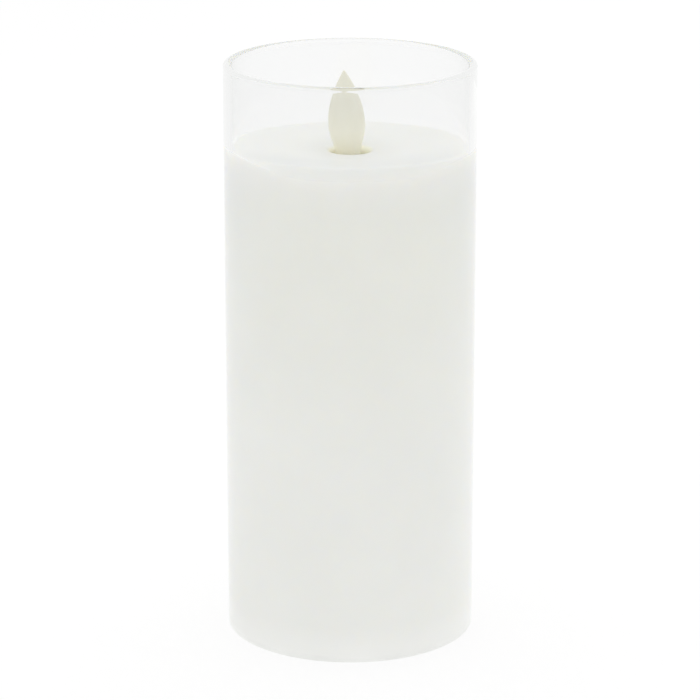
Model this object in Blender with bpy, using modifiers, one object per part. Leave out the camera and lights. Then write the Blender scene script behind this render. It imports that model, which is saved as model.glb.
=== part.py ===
"""Flameless LED candle: a wax pillar with a swinging flame, held in a clear glass sleeve.

Metres, +Z up. The origin is on the table under the middle of the foot, and the front faces -Y.
The flame hangs on a wire under the wax top, and a coil below it pushes the magnet in its tail.
Two AA cells stand in a well in the base, closed by a door that swings down.
"""
import math

import bmesh
import bpy
from mathutils import Matrix, Vector

MM = 0.001

# Gaps between pieces
CLEARANCE = 0.3 * MM
PIVOT_CLEARANCE = 0.15 * MM
DOOR_GAP = 0.35 * MM
WAX_GAP = 0.4 * MM
CELL_PLAY = 0.4 * MM

# Glass sleeve
GLASS_DIAMETER = 75 * MM
GLASS_HEIGHT = 175 * MM
GLASS_WALL = 2.3 * MM
GLASS_FOOT_GAP = 0.3 * MM
GLASS_FOOT_CHAMFER = 0.6 * MM

# Wax pillar
WAX_DROP = 24.6 * MM
WAX_FOOT_GAP = 1.5 * MM
WAX_WALL = 3.6 * MM
WAX_TOP_THICKNESS = 5.0 * MM
WAX_SHOULDER = 3.2 * MM
WAX_DISH = 1.2 * MM
WAX_FOOT_CHAMFER = 0.6 * MM
FLAME_HOLE_DIAMETER = 10.4 * MM
FLAME_HOLE_EDGE = 2.6 * MM

# Plastic liner inside the wax
LINER_WALL = 1.6 * MM
LINER_PLATE = 2.0 * MM
POST_DIAMETER = 6.4 * MM
POST_HEIGHT = 15.5 * MM
POST_RIB = 2.0 * MM
MODULE_BOSS_DIAMETER = 5.2 * MM
MODULE_BOSS_LENGTH = 5.0 * MM

# Base with its foot ring, and the bead under the wax that holds the glass
BASE_HEIGHT = 4.2 * MM
FLOOR_RECESS = 1.6 * MM
FOOT_WIDTH = 3.9 * MM
FOOT_CHAMFER = 0.5 * MM
SPIGOT_WALL = 1.6 * MM
SPIGOT_HEIGHT = 6.0 * MM
BEAD_WIDTH = 1.8 * MM
BEAD_THICKNESS = 0.7 * MM

# Screws
SCREW_DIAMETER = 2.2 * MM
SCREW_HEAD_DIAMETER = 4.4 * MM
SCREW_HEAD_HEIGHT = 1.1 * MM
BASE_SCREW_LENGTH = 11.0 * MM
MODULE_SCREW_LENGTH = 8.0 * MM
SCREW_CROWN_DIAMETER = 3.1 * MM
SCREW_RIM_HEIGHT = 0.45 * MM
SCREW_CROSS_LENGTH = 2.6 * MM
SCREW_CROSS_WIDTH = 0.7 * MM
SCREW_CROSS_DEPTH = 0.5 * MM
HEAD_SINK = 0.2 * MM

# Cells and their well
CELL_DIAMETER = 14.5 * MM
CELL_LENGTH = 50.5 * MM
CELL_NUB_DIAMETER = 5.5 * MM
CELL_NUB_LENGTH = 1.2 * MM
CELL_EDGE = 0.6 * MM
CELL_SPACING = 0.8 * MM
WELL_WALL = 1.4 * MM

# Contacts and springs
CONTACT_THICKNESS = 0.4 * MM
CONTACT_WIDTH = 9.0 * MM
TAIL_WIDTH = 2.4 * MM
TAIL_HEIGHT = 2.2 * MM
SPRING_LENGTH = 4.5 * MM
SPRING_WIRE = 0.6 * MM
SPRING_WIDE_RADIUS = 4.0 * MM
SPRING_NARROW_RADIUS = 2.2 * MM
SPRING_TURNS = 4
STAKE_DIAMETER = 2.0 * MM
STAKE_HEIGHT = 1.3 * MM

# Battery door
DOOR_THICKNESS = 1.6 * MM
TAB_WIDTH = 4.0 * MM
TAB_SPREAD = 4.5 * MM
TAB_THICKNESS = 1.0 * MM
TAB_REACH = 1.9 * MM
TAB_ROOT = 2.0 * MM
LEDGE_THICKNESS = 0.9 * MM
LATCH_WIDTH = 6.0 * MM
LATCH_LENGTH = 4.0 * MM
LATCH_SLIT = 0.8 * MM
LATCH_NUB = 0.22 * MM
LATCH_NUB_WIDTH = 4.6 * MM
LATCH_NUB_HEIGHT = 0.6 * MM
SCOOP_RADIUS = 4.5 * MM
SCOOP_DEPTH = 1.0 * MM
GRIP_COUNT = 3
GRIP_PITCH = 2.0 * MM
GRIP_LENGTH = 8.0 * MM
GRIP_WIDTH = 0.8 * MM
GRIP_HEIGHT = 0.5 * MM

# Slide switch
SWITCH_OFFSET = 19.0 * MM
SWITCH_TRAVEL = 2.0 * MM
KNOB_SIZE = 2.2 * MM
KNOB_TABLE_GAP = 0.7 * MM
SLIDER_LENGTH = 4.2 * MM
SLIDER_WIDTH = 3.2 * MM
SLIDER_THICKNESS = 0.8 * MM
SWITCH_WALL = 0.5 * MM
SWITCH_HEIGHT = 4.6 * MM
TERMINAL_PITCH = 2.5 * MM
TERMINAL_WIDTH = 0.9 * MM
TERMINAL_THICKNESS = 0.5 * MM
TERMINAL_LENGTH = 2.0 * MM
CRADLE_WALL = 1.2 * MM
CRADLE_HEIGHT = 3.3 * MM
SWITCH_SCOOP_LENGTH = 13.0 * MM
SWITCH_SCOOP_WIDTH = 6.5 * MM
SWITCH_SCOOP_DEPTH = 0.9 * MM

# Flame module housing
HOUSING_DIAMETER = 26.8 * MM
HOUSING_WALL = 1.4 * MM
HOUSING_ROOF = 1.5 * MM
FLANGE_WIDTH = 6.0 * MM
FLANGE_THICKNESS = 1.5 * MM
COLLAR_WALL = 0.7 * MM
COLLAR_STEP = 0.4 * MM
FUNNEL_FLARE = 1.4 * MM
LIP_WIDTH = 1.8 * MM
LIP_THICKNESS = 1.3 * MM
PIVOT_BOSS_DIAMETER = 4.0 * MM
PIVOT_WIRE_DIAMETER = 1.0 * MM
PIVOT_WIRE_SEAT = 0.4 * MM

# Flame, which hangs on the pivot wire
PIVOT_DEPTH = 13.0 * MM
FLAME_LEAN = math.radians(2.5)
FLAME_HEIGHT = 23.7 * MM
FLAME_WIDTH = 11.2 * MM
FLAME_FLATNESS = 0.75
FLAME_BELLY = 7.7 * MM
FLAME_SKIRT = 2.5 * MM
FLAME_NECK_WIDTH = 7.1 * MM
FLAME_WALL = 0.9 * MM
FLAME_TIP_RADIUS = 0.25 * MM
FLAME_TIP_FULLNESS = 0.68
FLAME_TIP_PULL = 0.40
FLAME_UPPER_PULL = 0.28
FLAME_LOWER_PULL = 0.62
FLAME_NECK_PULL = 0.20
STEM_DIAMETER = 3.2 * MM
STEM_PLUG = 4.0 * MM
SHOULDER_THICKNESS = 0.9 * MM
EYE_DIAMETER = 4.8 * MM
EYE_LENGTH = 8.8 * MM
EYE_SIDE_PLAY = 0.4 * MM
PENDULUM_LENGTH = 20.0 * MM
MAGNET_DIAMETER = 7.0 * MM
MAGNET_THICKNESS = 3.7 * MM
CUP_WALL = 0.6 * MM
CUP_ROOF = 0.8 * MM

# Light-emitting diodes on each side of the stem
LED_DIAMETER = 3.0 * MM
LED_LENGTH = 5.5 * MM
LED_FLANGE = 0.4 * MM
LED_FLANGE_THICKNESS = 0.7 * MM
LED_OFFSET = 7.6 * MM
LED_AIM = 14.0 * MM
LED_LEAD_DIAMETER = 0.5 * MM
LED_LEAD_PITCH = 2.54 * MM
LED_LEAD_DROP = 1.5 * MM
LED_SLEEVE_WALL = 1.0 * MM
LED_SLEEVE_LENGTH = 3.0 * MM
CHEEK_THICKNESS = 1.0 * MM
CHEEK_HEIGHT = 5.0 * MM

# Drive coil and control board
COIL_GAP = 1.7 * MM
COIL_HEIGHT = 6.0 * MM
COIL_DIAMETER = 14.8 * MM
COIL_FLANGE = 0.8 * MM
COIL_HUB_DIAMETER = 5.2 * MM
COIL_BORE_DIAMETER = 2.4 * MM
BOARD_THICKNESS = 1.4 * MM
CHIP_SIZE = (5.0 * MM, 4.0 * MM, 1.6 * MM)
CAPACITOR_DIAMETER = 5.0 * MM
CAPACITOR_LENGTH = 7.0 * MM
CAPACITOR_PLACE = (5.5 * MM, -3.5 * MM)
TRANSISTOR_DIAMETER = 4.6 * MM
TRANSISTOR_LENGTH = 4.8 * MM
TRANSISTOR_PLACE = (-5.5 * MM, -3.5 * MM)

# Leads
LEAD_DIAMETER = 1.2 * MM
LEAD_STEP = 3.6 * MM
NEGATIVE_PAD = (5.5 * MM, 5.0 * MM)
SWITCHED_PAD = (0.0, 7.5 * MM)

# Facets
FINE = 48
MEDIUM = 36
COARSE = 20
SMALL = 10
OVERCUT = 1.0 * MM
SHARP_ANGLE = math.radians(35)

# Radii from the glass inwards
glass_radius = GLASS_DIAMETER / 2
glass_bore = glass_radius - GLASS_WALL
wax_radius = glass_bore - WAX_GAP
wax_bore = wax_radius - WAX_WALL
base_radius = wax_bore - CLEARANCE
liner_radius = base_radius
liner_bore = liner_radius - LINER_WALL
spigot_radius = liner_bore - CLEARANCE
spigot_bore = spigot_radius - SPIGOT_WALL
post_circle = spigot_bore - CLEARANCE - POST_DIAMETER / 2
hole_radius = FLAME_HOLE_DIAMETER / 2
collar_bore = hole_radius + COLLAR_STEP
collar_radius = collar_bore + COLLAR_WALL
housing_radius = HOUSING_DIAMETER / 2
housing_bore = housing_radius - HOUSING_WALL
flange_radius = housing_radius + FLANGE_WIDTH
module_screw_circle = flange_radius - SCREW_HEAD_DIAMETER / 2 - FLANGE_THICKNESS / 2
screw_hole = SCREW_DIAMETER / 2 + CLEARANCE

# Heights from the table up to the top of the well
floor_bottom = FLOOR_RECESS
floor_top = BASE_HEIGHT
seat_height = floor_top + CLEARANCE
door_top = floor_bottom + DOOR_THICKNESS
bridge_bottom = door_top + CLEARANCE
bridge_top = bridge_bottom + CONTACT_THICKNESS
spring_bottom = bridge_top + CLEARANCE
left_cell_bottom = spring_bottom + SPRING_LENGTH + CLEARANCE
contact_bottom = left_cell_bottom + CELL_LENGTH + CLEARANCE
contact_top = contact_bottom + CONTACT_THICKNESS
well_ceiling = contact_top + CLEARANCE
well_top = well_ceiling + WELL_WALL
tail_top = well_top + TAIL_HEIGHT

# Heights from the glass rim down through the flame module
wax_top = GLASS_HEIGHT - WAX_DROP
wax_underside = wax_top - WAX_TOP_THICKNESS
hole_rim = wax_top - WAX_DISH
flange_top = wax_underside - 2 * CLEARANCE - SCREW_HEAD_HEIGHT
flange_bottom = flange_top - FLANGE_THICKNESS
plate_top = flange_bottom - CLEARANCE
plate_bottom = plate_top - LINER_PLATE
roof_bottom = flange_bottom - HOUSING_ROOF
pivot_height = hole_rim - PIVOT_DEPTH
coil_top = pivot_height - PENDULUM_LENGTH - COIL_GAP
coil_bottom = coil_top - COIL_HEIGHT
board_top = coil_bottom - CLEARANCE
board_bottom = board_top - BOARD_THICKNESS
under_board = board_bottom - CLEARANCE
lip_top = under_board
housing_bottom = lip_top - LIP_THICKNESS

# Plan of the well, its door and the switch
cell_place = (CELL_DIAMETER + CELL_SPACING) / 2
well_radius = CELL_DIAMETER / 2 + CELL_PLAY
door_radius = well_radius - DOOR_GAP
tail_place = cell_place + CONTACT_WIDTH / 2 - CONTACT_THICKNESS
switch_length = SLIDER_LENGTH + 2 * (SWITCH_TRAVEL + CLEARANCE + SWITCH_WALL)
switch_width = SLIDER_WIDTH + 2 * (CLEARANCE + SWITCH_WALL)
terminal_top = seat_height + SWITCH_HEIGHT + TERMINAL_LENGTH


def clear_scene():
    for obj in list(bpy.data.objects):
        bpy.data.objects.remove(obj)


def scene_collection(name):
    collection = bpy.data.collections.get(name)
    if collection is None:
        collection = bpy.data.collections.new(name)
        bpy.context.scene.collection.children.link(collection)
    return collection


clear_scene()
PARTS = scene_collection("flameless_led_candle")
CUTTERS = scene_collection("cutters")


# Outlines and routes

def arc(centre, radius, first, last, steps):
    """Points of a circular arc, with its angles in degrees."""
    angles = [math.radians(first + (last - first) * i / steps) for i in range(steps + 1)]
    return [(centre[0] + radius * math.cos(a), centre[1] + radius * math.sin(a)) for a in angles]


def bezier(start, start_handle, end_handle, end, steps):
    """Points of a cubic curve from start to end."""
    points = []
    for i in range(steps + 1):
        t = i / steps
        weights = ((1 - t) ** 3, 3 * t * (1 - t) ** 2, 3 * t ** 2 * (1 - t), t ** 3)
        corners = (start, start_handle, end_handle, end)
        points.append(tuple(sum(w * c[k] for w, c in zip(weights, corners)) for k in (0, 1)))
    return points


def stadium(half_pitch, radius, steps=SMALL):
    """Outline of two round ends, half_pitch to each side of the middle, and their tangents."""
    return (arc((half_pitch, 0), radius, -90, 90, steps)
            + arc((-half_pitch, 0), radius, 90, 270, steps))


def smooth_route(points, step):
    """Points about one step apart on a smooth curve through the given points."""
    ends = [2 * points[0] - points[1]] + points + [2 * points[-1] - points[-2]]
    route = [points[0]]
    for before, start, end, after in zip(ends, ends[1:], ends[2:], ends[3:]):
        count = max(2, round((end - start).length / step))
        for i in range(1, count + 1):
            t = i / count
            route.append(0.5 * (2 * start + (end - before) * t
                                + (2 * before - 5 * start + 4 * end - after) * t ** 2
                                + (3 * start - before - 3 * end + after) * t ** 3))
    return route


# Construction solids, which stay hidden until they become parts

def construction(name, data):
    obj = bpy.data.objects.new(name, data)
    CUTTERS.objects.link(obj)
    obj.hide_render = True
    obj.display_type = "WIRE"
    return obj


def from_bmesh(name, bm):
    mesh = bpy.data.meshes.new(name)
    bm.to_mesh(mesh)
    bm.free()
    return construction(name, mesh)


def box(name, low, high):
    low = Vector(low)
    high = Vector(high)
    bm = bmesh.new()
    place = Matrix.Translation((low + high) / 2) @ Matrix.Diagonal((*(high - low), 1))
    bmesh.ops.create_cube(bm, size=1, matrix=place)
    return from_bmesh(name, bm)


def cylinder(name, radius, start, end, segments=SMALL):
    start = Vector(start)
    end = Vector(end)
    turn = (end - start).to_track_quat("Z", "Y").to_matrix().to_4x4()
    bm = bmesh.new()
    bmesh.ops.create_cone(bm, cap_ends=True, segments=segments, radius1=radius, radius2=radius,
                          depth=(end - start).length, matrix=Matrix.Translation((start + end) / 2) @ turn)
    return from_bmesh(name, bm)


def turned(name, profile, segments, closed=True):
    """A profile of (radius, height) points turned about Z, down its outer side first."""
    mesh = bpy.data.meshes.new(name)
    edges = [(i, i + 1) for i in range(len(profile) - 1)]
    if closed:
        edges.append((len(profile) - 1, 0))
    mesh.from_pydata([(r, 0, z) for r, z in profile], edges, [])
    obj = construction(name, mesh)
    screw = obj.modifiers.new("turn", "SCREW")
    screw.steps = segments
    screw.render_steps = segments
    screw.use_merge_vertices = True
    screw.merge_threshold = 0.001 * MM
    return obj


def curve_solid(name, curve, height=0.0):
    """Turns a curve into a welded mesh, so that it can be cut or joined."""
    source = construction(name, curve)
    source.location.z = height
    bpy.context.view_layer.update()
    graph = bpy.context.evaluated_depsgraph_get()
    bm = bmesh.new()
    bm.from_mesh(bpy.data.meshes.new_from_object(source.evaluated_get(graph)))
    bmesh.ops.remove_doubles(bm, verts=bm.verts, dist=0.001 * MM)
    bmesh.ops.recalc_face_normals(bm, faces=bm.faces)
    solid = from_bmesh(name, bm)
    solid.matrix_world = source.matrix_world
    bpy.data.objects.remove(source)
    solid.name = name
    return solid


def prism(name, outline, bottom, top):
    """A flat outline extruded from one height to another."""
    curve = bpy.data.curves.new(name, "CURVE")
    curve.dimensions = "2D"
    curve.fill_mode = "BOTH"
    curve.extrude = (top - bottom) / 2
    spline = curve.splines.new("POLY")
    spline.points.add(len(outline) - 1)
    spline.use_cyclic_u = True
    for point, (x, y) in zip(spline.points, outline):
        point.co = (x, y, 0, 1)
    return curve_solid(name, curve, (top + bottom) / 2)


def tube_curve(name, points, diameter, resolution):
    curve = bpy.data.curves.new(name, "CURVE")
    curve.dimensions = "3D"
    curve.bevel_depth = diameter / 2
    curve.bevel_resolution = resolution
    curve.use_fill_caps = True
    spline = curve.splines.new("POLY")
    spline.points.add(len(points) - 1)
    for point, place in zip(spline.points, points):
        point.co = (*place, 1)
    return curve


def combine(target, operation, others):
    for other in others:
        boolean = target.modifiers.new(other.name, "BOOLEAN")
        boolean.operation = operation
        boolean.object = other
        boolean.solver = "EXACT"


def cut(target, *cutters):
    combine(target, "DIFFERENCE", cutters)


def fuse(target, *others):
    combine(target, "UNION", others)


def settle(obj):
    """Applies the modifiers, so that the true edges can be marked sharp."""
    bpy.context.view_layer.update()
    graph = bpy.context.evaluated_depsgraph_get()
    mesh = bpy.data.meshes.new_from_object(obj.evaluated_get(graph))
    obj.modifiers.clear()
    obj.data = mesh
    mesh.shade_smooth()
    mesh.set_sharp_from_angle(angle=SHARP_ANGLE)
    return obj


def show(obj, material, parent=None):
    """Makes a construction solid a part of the candle."""
    CUTTERS.objects.unlink(obj)
    PARTS.objects.link(obj)
    obj.hide_render = False
    obj.display_type = "TEXTURED"
    obj.data.materials.clear()
    obj.data.materials.append(material)
    obj.parent = parent
    return obj


def finish(obj, material, parent=None):
    return show(settle(obj), material, parent)


def joint_empty(name, place, turn_about_y=0.0):
    empty = bpy.data.objects.new(name, None)
    PARTS.objects.link(empty)
    empty.location = place
    empty.rotation_euler.y = turn_about_y
    empty.empty_display_size = 5 * MM
    return empty


def paint(name, colour, roughness, metallic=0.0, transmission=0.0):
    material = bpy.data.materials.new(name)
    material.use_nodes = True
    shader = material.node_tree.nodes["Principled BSDF"]
    shader.inputs["Base Color"].default_value = (*colour, 1)
    shader.inputs["Roughness"].default_value = roughness
    shader.inputs["Metallic"].default_value = metallic
    shader.inputs["Transmission Weight"].default_value = transmission
    return material


glass = paint("clear_glass", (0.95, 0.97, 0.97), 0.02, transmission=1.0)
wax = paint("white_wax", (0.80, 0.80, 0.76), 0.45)
ivory = paint("ivory_plastic", (0.74, 0.70, 0.56), 0.4)
white_plastic = paint("white_plastic", (0.82, 0.82, 0.80), 0.4)
black_plastic = paint("black_plastic", (0.03, 0.03, 0.03), 0.45)
bead_silicone = paint("silicone", (0.75, 0.76, 0.76), 0.5)
steel = paint("steel", (0.60, 0.60, 0.60), 0.25, metallic=1.0)
nickel = paint("nickel_plate", (0.65, 0.63, 0.58), 0.25, metallic=1.0)
copper = paint("enamelled_copper", (0.60, 0.25, 0.12), 0.3, metallic=1.0)
cell_jacket = paint("cell_jacket", (0.10, 0.11, 0.13), 0.35)
board_green = paint("board_green", (0.05, 0.22, 0.10), 0.4)
amber_lens = paint("amber_lens", (0.85, 0.55, 0.15), 0.1, transmission=0.6)
red_insulation = paint("red_insulation", (0.55, 0.04, 0.04), 0.45)
black_insulation = paint("black_insulation", (0.03, 0.03, 0.03), 0.45)


# Glass and wax

def make_glass_sleeve():
    half_wall = GLASS_WALL / 2
    profile = arc((glass_bore + half_wall, GLASS_HEIGHT - half_wall), half_wall, 180, 0, 6)
    profile += [(glass_radius, GLASS_FOOT_GAP + GLASS_FOOT_CHAMFER),
                (glass_radius - GLASS_FOOT_CHAMFER, GLASS_FOOT_GAP),
                (glass_bore + GLASS_FOOT_CHAMFER, GLASS_FOOT_GAP),
                (glass_bore, GLASS_FOOT_GAP + GLASS_FOOT_CHAMFER)]
    finish(turned("glass_sleeve", profile, FINE), glass)


def dish_height(radius):
    crest = wax_radius - WAX_SHOULDER
    return wax_top - WAX_DISH * (1 - (radius / crest) ** 2)


def make_wax_shell():
    crest = wax_radius - WAX_SHOULDER
    lip = hole_radius + FLAME_HOLE_EDGE
    dish_steps = 3
    dish_radii = [lip + (crest - lip) * i / dish_steps for i in range(1, dish_steps)]
    profile = arc((lip, dish_height(lip) - FLAME_HOLE_EDGE), FLAME_HOLE_EDGE, 180, 90, 3)
    profile += [(r, dish_height(r)) for r in dish_radii]
    profile += arc((crest, wax_top - WAX_SHOULDER), WAX_SHOULDER, 90, 0, 4)
    profile += [(wax_radius, WAX_FOOT_GAP + WAX_FOOT_CHAMFER),
                (wax_radius - WAX_FOOT_CHAMFER, WAX_FOOT_GAP),
                (wax_bore, WAX_FOOT_GAP),
                (wax_bore, wax_underside),
                (hole_radius, wax_underside)]
    finish(turned("wax_shell", profile, FINE), wax)


# Liner, base and bead

def ring_places(circle, count=4):
    """Evenly spaced places on a circle, the first at 45 degrees."""
    angles = [math.radians(45) + math.tau * i / count for i in range(count)]
    return [(circle * math.cos(a), circle * math.sin(a)) for a in angles]


def make_core_liner():
    rim = wax_underside - CLEARANCE
    plate_hole = housing_radius + CLEARANCE
    profile = [(liner_bore, rim), (liner_radius, rim), (liner_radius, seat_height),
               (liner_bore, seat_height), (liner_bore, plate_bottom), (plate_hole, plate_bottom),
               (plate_hole, plate_top), (liner_bore, plate_top)]
    liner = turned("core_liner", profile, MEDIUM)
    rib_bottom = floor_top + SPIGOT_HEIGHT + CLEARANCE
    post_top = seat_height + POST_HEIGHT
    rib_end = liner_bore + LINER_WALL / 2
    for i, (x, y) in enumerate(ring_places(post_circle)):
        turn = math.atan2(y, x)
        rib = box(f"post_rib_{i}", (post_circle, -POST_RIB / 2, rib_bottom),
                  (rib_end, POST_RIB / 2, post_top - OVERCUT))
        rib.rotation_euler.z = turn
        post = cylinder(f"post_{i}", POST_DIAMETER / 2, (x, y, seat_height), (x, y, post_top))
        pilot = cylinder(f"post_pilot_{i}", screw_hole, (x, y, seat_height - OVERCUT),
                         (x, y, post_top - OVERCUT))
        fuse(liner, post, rib)
        cut(liner, pilot)
    for i, (x, y) in enumerate(ring_places(module_screw_circle)):
        boss = cylinder(f"module_boss_{i}", MODULE_BOSS_DIAMETER / 2,
                        (x, y, plate_bottom - MODULE_BOSS_LENGTH), (x, y, plate_top - LINER_PLATE / 2))
        pilot = cylinder(f"module_pilot_{i}", screw_hole,
                         (x, y, plate_bottom - MODULE_BOSS_LENGTH - OVERCUT), (x, y, plate_top + OVERCUT))
        fuse(liner, boss)
        cut(liner, pilot)
    finish(liner, white_plastic)


def base_profile():
    return [(0, floor_top), (spigot_bore, floor_top), (spigot_bore, floor_top + SPIGOT_HEIGHT),
            (spigot_radius, floor_top + SPIGOT_HEIGHT), (spigot_radius, floor_top),
            (base_radius, floor_top), (base_radius, FOOT_CHAMFER),
            (base_radius - FOOT_CHAMFER, 0), (base_radius - FOOT_WIDTH + FOOT_CHAMFER, 0),
            (base_radius - FOOT_WIDTH, FOOT_CHAMFER), (base_radius - FOOT_WIDTH, floor_bottom),
            (0, floor_bottom)]


def add_battery_well(base):
    well = prism("well_outside", stadium(cell_place, well_radius + WELL_WALL),
                 (floor_bottom + floor_top) / 2, well_top)
    room = prism("well_inside", stadium(cell_place, well_radius), floor_bottom - OVERCUT, well_ceiling)
    fuse(base, well)
    cut(base, room)
    for side in (-1, 1):
        slot_half = CONTACT_THICKNESS / 2 + CLEARANCE
        slot = box(f"tail_slot_{side}",
                   (side * tail_place - slot_half, -TAIL_WIDTH / 2 - CLEARANCE, well_ceiling - OVERCUT),
                   (side * tail_place + slot_half, TAIL_WIDTH / 2 + CLEARANCE, well_top + OVERCUT))
        cut(base, slot)


def add_door_seat(base):
    """Ledges that the door's tabs lie on, the catch groove and the finger scoop."""
    tab_swing = math.hypot(TAB_REACH, TAB_THICKNESS + LEDGE_THICKNESS + CLEARANCE)
    for side in (-1, 1):
        notch = box(f"tab_notch_{side}",
                    (side * TAB_SPREAD - TAB_WIDTH / 2 - CLEARANCE, door_radius - DOOR_GAP,
                     floor_bottom + LEDGE_THICKNESS),
                    (side * TAB_SPREAD + TAB_WIDTH / 2 + CLEARANCE, door_radius + TAB_REACH + CLEARANCE,
                     floor_bottom + tab_swing + CLEARANCE))
        cut(base, notch)
    catch_half = LATCH_NUB_WIDTH / 2 + CLEARANCE
    catch = box("catch_groove",
                (-catch_half, -well_radius - DOOR_GAP, door_top - LATCH_NUB_HEIGHT - CLEARANCE),
                (catch_half, -well_radius + OVERCUT, door_top + CLEARANCE))
    scoop = cylinder("finger_scoop", SCOOP_RADIUS, (0, -well_radius, floor_bottom - OVERCUT),
                     (0, -well_radius, floor_bottom + SCOOP_DEPTH), COARSE)
    cut(base, catch, scoop)


def add_switch_seat(base):
    middle = SWITCH_OFFSET
    slot_x = KNOB_SIZE / 2 + SWITCH_TRAVEL + CLEARANCE
    slot_y = KNOB_SIZE / 2 + CLEARANCE
    slot = box("switch_slot", (-slot_x, middle - slot_y, floor_bottom - OVERCUT),
               (slot_x, middle + slot_y, floor_top + OVERCUT))
    round_end = SWITCH_SCOOP_WIDTH / 2
    scoop = prism("switch_scoop", stadium(SWITCH_SCOOP_LENGTH / 2 - round_end, round_end),
                  floor_bottom - OVERCUT, floor_bottom + SWITCH_SCOOP_DEPTH)
    scoop.location.y = middle
    for side in (-1, 1):
        near = side * (switch_length / 2 + CLEARANCE)
        far = near + side * CRADLE_WALL
        wall = box(f"switch_cradle_{side}",
                   (min(near, far), middle - switch_width / 2, floor_bottom + OVERCUT),
                   (max(near, far), middle + switch_width / 2, floor_top + CRADLE_HEIGHT))
        fuse(base, wall)
    cut(base, slot, scoop)


def add_base_screw_holes(base):
    recess_top = floor_bottom + HEAD_SINK + SCREW_HEAD_HEIGHT + CLEARANCE
    for i, (x, y) in enumerate(ring_places(post_circle)):
        hole = cylinder(f"base_hole_{i}", screw_hole, (x, y, floor_bottom), (x, y, floor_top + OVERCUT))
        recess = cylinder(f"base_recess_{i}", SCREW_HEAD_DIAMETER / 2 + CLEARANCE,
                          (x, y, floor_bottom - OVERCUT), (x, y, recess_top))
        cut(base, hole, recess)


def make_base_plate():
    base = turned("base_plate", base_profile(), MEDIUM, closed=False)
    add_battery_well(base)
    add_door_seat(base)
    add_switch_seat(base)
    add_base_screw_holes(base)
    finish(base, white_plastic)


def make_adhesive_bead():
    outer = glass_bore - CLEARANCE
    inner = outer - BEAD_WIDTH
    top = WAX_FOOT_GAP - CLEARANCE
    bottom = top - BEAD_THICKNESS
    rounding = BEAD_THICKNESS / 2
    profile = [(inner, top), (outer, top), (outer, bottom + rounding), (outer - rounding, bottom),
               (inner + BEAD_THICKNESS, bottom), (inner, top - rounding / 2)]
    finish(turned("adhesive_bead", profile, MEDIUM), bead_silicone)


# Screws

def screw_mesh(name, length):
    """A round-headed screw, its head underside at height 0 and its shank below."""
    head = SCREW_HEAD_DIAMETER / 2
    shank = SCREW_DIAMETER / 2
    crown = SCREW_CROWN_DIAMETER / 2
    profile = [(0, SCREW_HEAD_HEIGHT), (crown, SCREW_HEAD_HEIGHT), (head, SCREW_RIM_HEIGHT), (head, 0),
               (shank, 0), (shank, shank - length), (0, -length)]
    screw = turned(name, profile, SMALL, closed=False)
    for turn in (0, 90):
        slot = box(f"{name}_cross_{turn}",
                   (-SCREW_CROSS_LENGTH / 2, -SCREW_CROSS_WIDTH / 2, SCREW_HEAD_HEIGHT - SCREW_CROSS_DEPTH),
                   (SCREW_CROSS_LENGTH / 2, SCREW_CROSS_WIDTH / 2, SCREW_HEAD_HEIGHT + OVERCUT))
        slot.rotation_euler.z = math.radians(turn)
        cut(screw, slot)
    return settle(screw).data


def make_screws(name, length, places, height, head_up):
    mesh = screw_mesh(f"{name}_shape", length)
    for i, (x, y) in enumerate(places, 1):
        screw = construction(f"{name}_{i}", mesh)
        screw.location = (x, y, height)
        screw.rotation_euler.x = 0 if head_up else math.pi
        show(screw, steel)


def make_all_screws():
    base_head = floor_bottom + HEAD_SINK + SCREW_HEAD_HEIGHT
    make_screws("base_screw", BASE_SCREW_LENGTH, ring_places(post_circle), base_head, head_up=False)
    module_head = flange_top + CLEARANCE
    module_places = ring_places(module_screw_circle)
    make_screws("module_screw", MODULE_SCREW_LENGTH, module_places, module_head, head_up=True)


# Battery door with its contact

def make_battery_door(hinge):
    """The door is built where it lies when shut, then handed to its hinge."""
    door = prism("battery_door", stadium(cell_place, door_radius), floor_bottom, door_top)
    tab_bottom = floor_bottom + LEDGE_THICKNESS + CLEARANCE
    for side in (-1, 1):
        tab = box(f"door_tab_{side}", (side * TAB_SPREAD - TAB_WIDTH / 2, door_radius - TAB_ROOT, tab_bottom),
                  (side * TAB_SPREAD + TAB_WIDTH / 2, door_radius + TAB_REACH, tab_bottom + TAB_THICKNESS))
        fuse(door, tab)
    nub_half = LATCH_NUB_WIDTH / 2
    nub = box("latch_nub", (-nub_half, -door_radius - LATCH_NUB, door_top - LATCH_NUB_HEIGHT),
              (nub_half, -door_radius + OVERCUT, door_top - CLEARANCE / 2))
    stake = cylinder("contact_stake", STAKE_DIAMETER / 2, (0, 0, floor_bottom + DOOR_THICKNESS / 2),
                     (0, 0, door_top + STAKE_HEIGHT))
    fuse(door, nub, stake)
    for i in range(GRIP_COUNT):
        y = (i - (GRIP_COUNT - 1) / 2) * GRIP_PITCH
        grip = box(f"door_grip_{i}", (-GRIP_LENGTH / 2, y - GRIP_WIDTH / 2, floor_bottom - GRIP_HEIGHT),
                   (GRIP_LENGTH / 2, y + GRIP_WIDTH / 2, floor_bottom + DOOR_THICKNESS / 2))
        fuse(door, grip)
    for side in (-1, 1):
        near = side * LATCH_WIDTH / 2
        far = near + side * LATCH_SLIT
        slit = box(f"latch_slit_{side}", (min(near, far), -door_radius - OVERCUT, floor_bottom - OVERCUT),
                   (max(near, far), -door_radius + LATCH_LENGTH, door_top + OVERCUT))
        cut(door, slit)
    finish(door, white_plastic)
    hang_on(door, hinge)


def hang_on(obj, empty):
    """Parents a part to its joint's empty without moving it, with its origin on the joint's axis."""
    obj.data.transform(Matrix.Translation(-empty.location) @ obj.matrix_world)
    obj.matrix_world = Matrix.Identity(4)
    obj.parent = empty


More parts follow.
